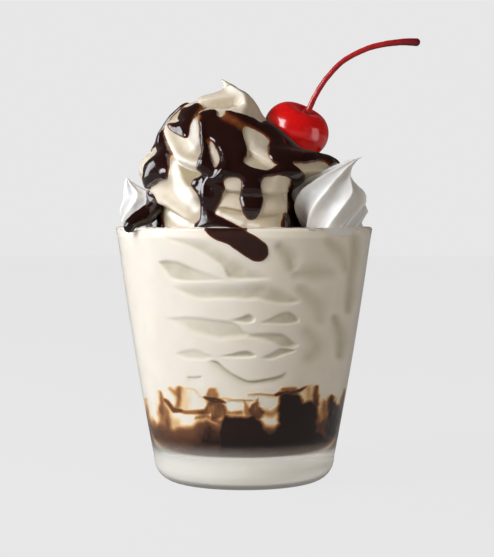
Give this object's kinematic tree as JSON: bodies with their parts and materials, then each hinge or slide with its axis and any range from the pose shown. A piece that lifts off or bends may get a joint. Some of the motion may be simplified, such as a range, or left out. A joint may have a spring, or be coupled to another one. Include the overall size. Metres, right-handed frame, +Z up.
{
  "type": "ice cream sundae",
  "caption": "Soft serve sundae in a frosted tumbler: fudge in its foot, swirl with fudge sauce, cream rosettes and a cherry with its stem on top.",
  "frame": {"origin": "centre of the glass's flat foot, on the surface that it stands on", "axes": "+Z up along the glass's axis, -Y towards the side first seen, +X towards the cherry and its stem"},
  "size_m": [0.1066, 0.09, 0.1554],
  "materials": {
    "frosted_glass": "lightly frosted clear glass",
    "soft_serve_cream": "soft satin sheen of vanilla soft serve",
    "whipped_cream": "soft satin whipped cream",
    "fudge": "wet and glossy chocolate fudge, amber where it is thin",
    "cherry_red": "glossy maraschino cherry",
    "stem_red": "satin dyed cherry stem"
  },
  "bodies": {
    "root": {"glass": "frosted_glass", "fudge_layer": "fudge", "soft_serve": "soft_serve_cream", "fudge_sauce": "fudge", "cream_rosette_right": "whipped_cream", "cream_rosette_left": "whipped_cream", "cherry": "cherry_red", "cherry_stem": "stem_red"}
  },
  "joints": []
}
